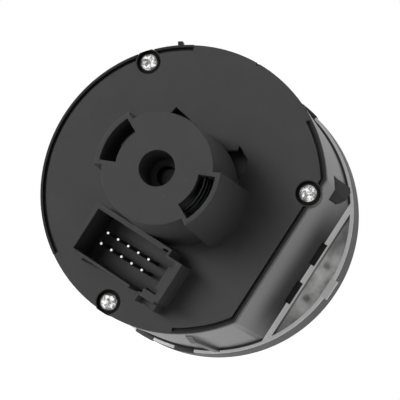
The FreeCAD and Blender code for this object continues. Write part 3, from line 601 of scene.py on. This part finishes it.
class SWITCH_OT_stage(bpy.types.Operator):
    """Floor, soft lamps, white surroundings and the camera"""
    bl_idname = "switch.stage"
    bl_label = "Stage"

    def execute(self, context):
        settings = context.scene.switch_stage
        self.floor(settings)
        self.surroundings(settings)
        self.lamps(settings)
        self.camera(settings)
        context.scene.view_settings.view_transform = "Standard"
        return {"FINISHED"}

    def floor(self, settings):
        bm = bmesh.new()
        bmesh.ops.create_grid(bm, x_segments=1, y_segments=1, size=settings.floor_size / 2)
        bmesh.ops.translate(bm, verts=bm.verts, vec=(0, 0, cad_box[0][2] - settings.floor_drop))
        made = new_object("floor", bm)
        tree = Tree("pale_floor")
        cloud = tree.noise(0.05, 2.0)
        tree.set(Base_Color=tree.mix(cloud, (0.93, 0.93, 0.93), (0.95, 0.95, 0.95)), Roughness=0.7)
        glow = tree.node("ShaderNodeEmission", None, {"Color": WHITE, "Strength": 1.25})
        plain = Sock(tree, tree.shader.outputs[0])
        blend = tree.node("ShaderNodeMixShader", None, {0: tree.seen() * 0.85, 1: plain, 2: glow})
        tree.feed(tree.output.inputs["Surface"], blend)
        made.data.materials.append(tree.material)

    def surroundings(self, settings):
        world = bpy.data.worlds.new("white_surroundings")
        bpy.context.scene.world = world
        world.use_nodes = True
        tree = Nodes(world.node_tree)
        light = tree.node("ShaderNodeBackground", None, {"Color": WHITE, "Strength": settings.world_strength})
        shown = tree.node("ShaderNodeBackground", None, {"Color": WHITE, "Strength": 1.0})
        blend = tree.node("ShaderNodeMixShader", None, {0: tree.seen(), 1: light, 2: shown})
        tree.feed(world.node_tree.nodes["World Output"].inputs["Surface"], blend)

    def lamps(self, settings):
        """Square soft lamps that face the part: name, place, side and share of the key's power."""
        lamps = (
            ("key_lamp", (0.30, 0.64, -0.165), 0.40, 1.0),
            ("fill_lamp", (-0.50, 0.20, -0.35), 0.5, 0.22),
            ("front_lamp", (0.30, -0.55, 0.40), 0.6, 0.25),
        )
        for name, place, side, share in lamps:
            data = bpy.data.lights.new(name, "AREA")
            data.shape = "SQUARE"
            data.size = side
            data.energy = settings.key_power * share
            made = bpy.data.objects.new(name, data)
            made.location = place
            made.rotation_euler = (-Vector(place)).to_track_quat("-Z", "Y").to_euler()
            made.visible_glossy = False
            bpy.context.scene.collection.objects.link(made)

    def camera(self, settings):
        data = bpy.data.cameras.new("photo_camera")
        data.lens = settings.lens
        data.sensor_width = 36.0
        data.clip_start = 0.01
        made = bpy.data.objects.new("photo_camera", data)
        up = CAMERA_BACK.cross(CAMERA_RIGHT).normalized()
        right = up.cross(CAMERA_BACK).normalized()
        turn = Matrix((right, up, CAMERA_BACK.normalized())).transposed()
        made.matrix_world = Matrix.Translation(settings.camera_place) @ turn.to_4x4()
        bpy.context.scene.collection.objects.link(made)
        bpy.context.scene.camera = made


class SWITCH_OT_plastics(bpy.types.Operator):
    """Moulded plastic finishes of the housing, trim, cover, knob and inner pieces"""
    bl_idname = "switch.plastics"
    bl_label = "Plastics"

    def execute(self, context):
        settings = context.scene.switch_plastics
        catch_colour = scaled(settings.trim_colour, 2.0)
        catch = flow_marked("catch_plastic", catch_colour, 0.75, settings, specular=0.04)
        black = flow_marked("black_plastic", (0.018, 0.018, 0.018), 0.50, settings, specular=0.3)
        face = flow_marked("face_plastic", (0.020, 0.020, 0.021), 0.42, settings, bump=0.08)
        knob = flow_marked("knob_plastic", (0.022, 0.022, 0.023), 0.45, settings, bump=0.08)
        dress(housing_grey("light_grey_plastic", settings.housing_colour, 0.50, settings), "housing")
        dress(trim_grey("dark_grey_plastic", settings.trim_colour, 0.52, settings), "trim_ring")
        dress(cover_black("cover_plastic", settings.cover_colour, 0.52, settings), "rear_cover")
        dress(catch, "catch_upper", "catch_lower", "knob_shaft")
        dress(black, "rear_frame", "light_baffle", "rotor")
        dress(face, "face_plate")
        dress(knob, "knob")
        dress(milky("milky_plastic", settings.milky_colour, settings),
              "light_guide", "release_sleeve", "detent_plunger")
        dress(white_ink("white_inlay", (0.85, 0.85, 0.83)), "knob_pointer")
        dress(board_laminate("board_laminate"), "circuit_board")
        dress(lamp_resin("lamp_resin"), "board_lamps")
        return {"FINISHED"}


class SWITCH_OT_metals(bpy.types.Operator):
    """Metal finishes of the screws, pins, springs and contacts"""
    bl_idname = "switch.metals"
    bl_label = "Metals"

    def execute(self, context):
        settings = context.scene.switch_metals
        pin_tips_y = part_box("contact_pins")[1].y
        dress(zinc_plate("zinc_plate", settings.zinc_colour), "cover_screws")
        dress(tinned("tinned_pins", (0.92, 0.92, 0.91), pin_tips_y), "contact_pins")
        dress(drawn_metal("spring_steel", settings.steel_colour, 0.30, 0.0002),
              "detent_spring", "catch_spring_upper", "catch_spring_lower")
        # Return spring's steel darkened to 8 percent: painted shade inside the boss
        dress(drawn_metal("spring_in_shade", scaled(settings.steel_colour, 0.08), 0.34, 0.0002), "return_spring")
        dress(drawn_metal("spring_brass", settings.brass_colour, 0.32, 0.0003), "rotor_wiper", "contact_bush")
        dress(drawn_metal("satin_chrome", (0.78, 0.78, 0.79), 0.28, 0.0004, (1.0, 6.0, 1.0), 0.04),
              "knob_ring")
        return {"FINISHED"}


class SWITCH_OT_springs(bpy.types.Operator):
    """Round wire coils for the return spring and the two catch springs"""
    bl_idname = "switch.springs"
    bl_label = "Springs"

    def execute(self, context):
        settings = context.scene.switch_coil
        catch_line = Vector((math.cos(CATCH_ANGLE), 0, math.sin(CATCH_ANGLE)))
        turns = settings.catch_turns
        self.coil("return_spring", Vector((0, 1, 0)), settings.return_turns, "knob_push", PUSH_TRAVEL,
                  far_end_fixed=True)
        self.coil("catch_spring_upper", -catch_line, turns, "upper_catch_draw", CATCH_TRAVEL)
        self.coil("catch_spring_lower", catch_line, turns, "lower_catch_draw", CATCH_TRAVEL)
        return {"FINISHED"}

    def coil(self, node, along, turns, joint, travel, far_end_fixed=False):
        """Coil in the CAD spring's place and finish."""
        wire_r = bpy.context.scene.switch_coil.wire / 2
        spring = bpy.data.objects[node].data
        points = [v.co for v in spring.vertices]
        middle = sum(points, Vector()) / len(points)
        reach = [(p - middle).dot(along) for p in points]
        outer_r = max(((p - middle) - along * (p - middle).dot(along)).length for p in points)
        length = max(reach) - min(reach)
        start = middle + along * min(reach)
        steps = STEPS_PER_TURN * turns
        bm = bmesh.new()
        bmesh.ops.create_circle(bm, cap_ends=True, segments=WIRE_SIDES, radius=wire_r,
                                matrix=Matrix.Translation((outer_r - wire_r, wire_r, 0)))
        bmesh.ops.spin(bm, geom=bm.verts[:] + bm.edges[:] + bm.faces[:], cent=(0, 0, 0), axis=(0, 1, 0),
                       dvec=(0, (length - 2 * wire_r) / steps, 0), angle=math.tau * turns, steps=steps)
        turn = Vector((0, 1, 0)).rotation_difference(along).to_matrix().to_4x4()
        bmesh.ops.transform(bm, matrix=Matrix.Translation(start) @ turn, verts=bm.verts)
        made = switch_piece(node + "_coil", bm, spring.materials[0])
        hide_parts(node)
        1.0 - travel / length
        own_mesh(made)


class SWITCH_OT_symbols(bpy.types.Operator):
    """Printed light symbols round the knob"""
    bl_idname = "switch.symbols"
    bl_label = "Symbols"

    def execute(self, context):
        settings = context.scene.switch_symbols
        printed = white_ink("printed_white", (0.80, 0.80, 0.78))
        face_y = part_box("face_plate")[0].y + FACE_RECESS
        symbols = (
            ("auto_symbol", -45.0, self.auto),
            ("off_symbol", 0.0, self.off),
            ("side_lamp_symbol", 45.0, self.side_lamp),
            ("dipped_beam_symbol", 90.0, self.dipped_beam),
            ("front_fog_symbol", 150.0, self.front_fog),
            ("rear_fog_symbol", 210.0, self.rear_fog),
        )
        for name, degrees, draw in symbols:
            bm = bmesh.new()
            draw(bm, settings.size)
            angle = math.radians(degrees)
            at = Vector((math.sin(angle) * settings.circle, face_y, math.cos(angle) * settings.circle))
            bmesh.ops.translate(bm, verts=bm.verts, vec=at)
            switch_piece(name, bm, printed.material)
        return {"FINISHED"}

    def bar(self, bm, start, end, width):
        """Flat bar between two points of the face, a hair thick."""
        a = Vector((start[0], 0, start[1]))
        b = Vector((end[0], 0, end[1]))
        run = b - a
        middle = (a + b) / 2 - Vector((0, INK_THICK / 2, 0))
        turn = Matrix.Rotation(math.atan2(-run.z, run.x), 4, "Y")
        sides = Matrix.Diagonal((run.length, INK_THICK, width, 1.0))
        bmesh.ops.create_cube(bm, size=1.0, matrix=Matrix.Translation(middle) @ turn @ sides)

    def stroke(self, bm, points, width):
        """Bars along a line of points."""
        for a, b in zip(points, points[1:]):
            self.bar(bm, a, b, width)

    def arc(self, centre, r, a0, a1, steps=14):
        """Points on an arc of the face, angles in degrees from the right."""
        angles = [math.radians(a0 + (a1 - a0) * i / steps) for i in range(steps + 1)]
        return [(centre[0] + r * math.cos(a), centre[1] + r * math.sin(a)) for a in angles]

    def auto(self, bm, size):
        """Letter A."""
        width = size * 0.09
        self.stroke(bm, [(-size * 0.3, -size * 0.35), (0, size * 0.4), (size * 0.3, -size * 0.35)], width)
        self.bar(bm, (-size * 0.19, -size * 0.08), (size * 0.19, -size * 0.08), width)

    def off(self, bm, size):
        """Plain ring."""
        self.stroke(bm, self.arc((0, 0), size * 0.3, 0, 360, 24), size * 0.09)

    def lamp(self, bm, size, x, bow_left):
        """Half-round lamp at a place across the symbol."""
        low, high = (90, 270) if bow_left else (-90, 90)
        bow = self.arc((x, 0), size * 0.26, low, high)
        self.stroke(bm, bow + [bow[0]], size * 0.07)

    def rays(self, bm, size, x0, x1, rises, drop=0.0):
        """Light rays between two places across, one at each rise, which fall by a drop."""
        for rise in rises:
            self.bar(bm, (x0 * size, rise * size), (x1 * size, (rise - drop) * size), size * 0.06)

    def fog(self, bm, size, x):
        """Wavy line of fog that crosses the rays."""
        wave = [(size * (x + 0.05 * math.sin(i * 1.2)), size * (0.36 - 0.08 * i)) for i in range(10)]
        self.stroke(bm, wave, size * 0.05)

    def side_lamp(self, bm, size):
        """Two lamps back to back, each with spreading rays."""
        for way in (-1, 1):
            self.lamp(bm, size * 0.8, way * size * 0.12, bow_left=way < 0)
            for rise in (-0.2, 0.0, 0.2):
                start = (way * size * 0.38, rise * size * 0.8)
                end = (way * size * 0.52, rise * size * 1.3)
                self.bar(bm, start, end, size * 0.06)

    def dipped_beam(self, bm, size):
        """Lamp with rays that slope down."""
        self.lamp(bm, size, size * 0.12, bow_left=False)
        self.rays(bm, size, 0.02, -0.42, (-0.22, -0.07, 0.08, 0.23), drop=0.12)

    def front_fog(self, bm, size):
        """Lamp with sloping rays behind a wavy line."""
        self.lamp(bm, size, size * 0.12, bow_left=False)
        self.rays(bm, size, 0.02, -0.42, (-0.2, 0.0, 0.2), drop=0.1)
        self.fog(bm, size, -0.24)

    def rear_fog(self, bm, size):
        """Lamp with level rays behind a wavy line."""
        self.lamp(bm, size, -size * 0.12, bow_left=True)
        self.rays(bm, size, -0.02, 0.42, (-0.2, 0.0, 0.2))
        self.fog(bm, size, 0.24)


class SWITCH_PT_panel(bpy.types.Panel):
    """Lists the stage and each group of finishes and pieces"""
    bl_idname = "SWITCH_PT_panel"
    bl_label = "Headlight switch"
    bl_space_type = "VIEW_3D"
    bl_region_type = "UI"
    bl_category = "Switch"

    def draw(self, context):
        for name, group, operator in SECTIONS:
            column = self.layout.box().column()
            for setting in group.__annotations__:
                column.prop(getattr(context.scene, name), setting)
            column.operator(operator.bl_idname)


# Each section of the panel: its settings on the scene, their class, and its operator
SECTIONS = (
    ("switch_stage", StageSettings, SWITCH_OT_stage),
    ("switch_plastics", PlasticSettings, SWITCH_OT_plastics),
    ("switch_metals", MetalSettings, SWITCH_OT_metals),
    ("switch_coil", CoilSettings, SWITCH_OT_springs),
    ("switch_symbols", SymbolSettings, SWITCH_OT_symbols),
)


def register():
    for name, group, operator in SECTIONS:
        bpy.utils.register_class(group)
        bpy.utils.register_class(operator)
        setattr(bpy.types.Scene, name, bpy.props.PointerProperty(type=group))
    bpy.utils.register_class(SWITCH_PT_panel)


def unregister():
    bpy.utils.unregister_class(SWITCH_PT_panel)
    for name, group, operator in reversed(SECTIONS):
        delattr(bpy.types.Scene, name)
        bpy.utils.unregister_class(operator)
        bpy.utils.unregister_class(group)


def main():
    register()
    bpy.ops.switch.stage()
    bpy.ops.switch.plastics()
    bpy.ops.switch.metals()
    bpy.ops.switch.springs()
    bpy.ops.switch.symbols()


if __name__ == "__main__":
    main()
